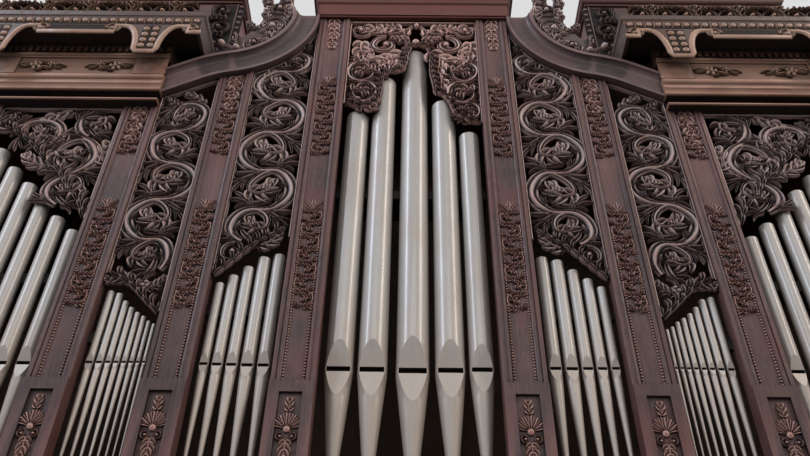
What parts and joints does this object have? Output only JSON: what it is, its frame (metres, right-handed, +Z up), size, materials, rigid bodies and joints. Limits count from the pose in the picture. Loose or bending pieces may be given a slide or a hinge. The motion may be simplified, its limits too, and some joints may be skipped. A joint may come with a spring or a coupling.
{
  "type": "pipe organ case with display pipes",
  "caption": "Free-standing baroque pipe organ case with carved openwork shades, curved cornices and upright metal display pipes.",
  "frame": {"origin": "on the floor, at the middle of the overall box in plan", "axes": "+Z up, the pipe front faces -Y, +X to the right of a person who faces the front"},
  "size_m": [5.914, 1.52, 6.54],
  "materials": {
    "case_wood": "dark reddish brown varnished oak, satin",
    "carved_wood": "dark brown carved limewood, satin with dust in the hollows",
    "moulding_wood": "dark violet brown polished mouldings",
    "inner_wood": "dark unpolished wood inside the case",
    "pipe_metal": "aged tin pipe metal, soft satin"
  },
  "bodies": {
    "root": {"plinth": "case_wood", "lower_front_frame": "case_wood", "lower_front_panels": "case_wood", "case_back": "case_wood", "impost": "moulding_wood", "toe_board": "inner_wood", "centre_pipes": "pipe_metal", "pipe_rails": "inner_wood", "centre_shade": "carved_wood", "centre_cornice": "moulding_wood", "case_roof": "inner_wood", "lower_side_left": "case_wood", "upper_side_left": "case_wood", "far_pilaster_left": "case_wood", "outer_pilaster_left": "case_wood", "mid_pilaster_left": "case_wood", "inner_pilaster_left": "case_wood", "inner_pipes_left": "pipe_metal", "outer_pipes_left": "pipe_metal", "tower_pipes_left": "pipe_metal", "inner_shade_left": "carved_wood", "outer_shade_left": "carved_wood", "tower_shade_left": "carved_wood", "entablature_left": "moulding_wood", "crown_cornice_left": "moulding_wood", "swan_cornice_left": "moulding_wood", "crest_left": "carved_wood", "tower_attic_left": "case_wood", "lower_side_right": "case_wood", "upper_side_right": "case_wood", "far_pilaster_right": "case_wood", "outer_pilaster_right": "case_wood", "mid_pilaster_right": "case_wood", "inner_pilaster_right": "case_wood", "inner_pipes_right": "pipe_metal", "outer_pipes_right": "pipe_metal", "tower_pipes_right": "pipe_metal", "inner_shade_right": "carved_wood", "outer_shade_right": "carved_wood", "tower_shade_right": "carved_wood", "entablature_right": "moulding_wood", "crown_cornice_right": "moulding_wood", "swan_cornice_right": "moulding_wood", "crest_right": "carved_wood", "tower_attic_right": "case_wood"}
  },
  "joints": []
}
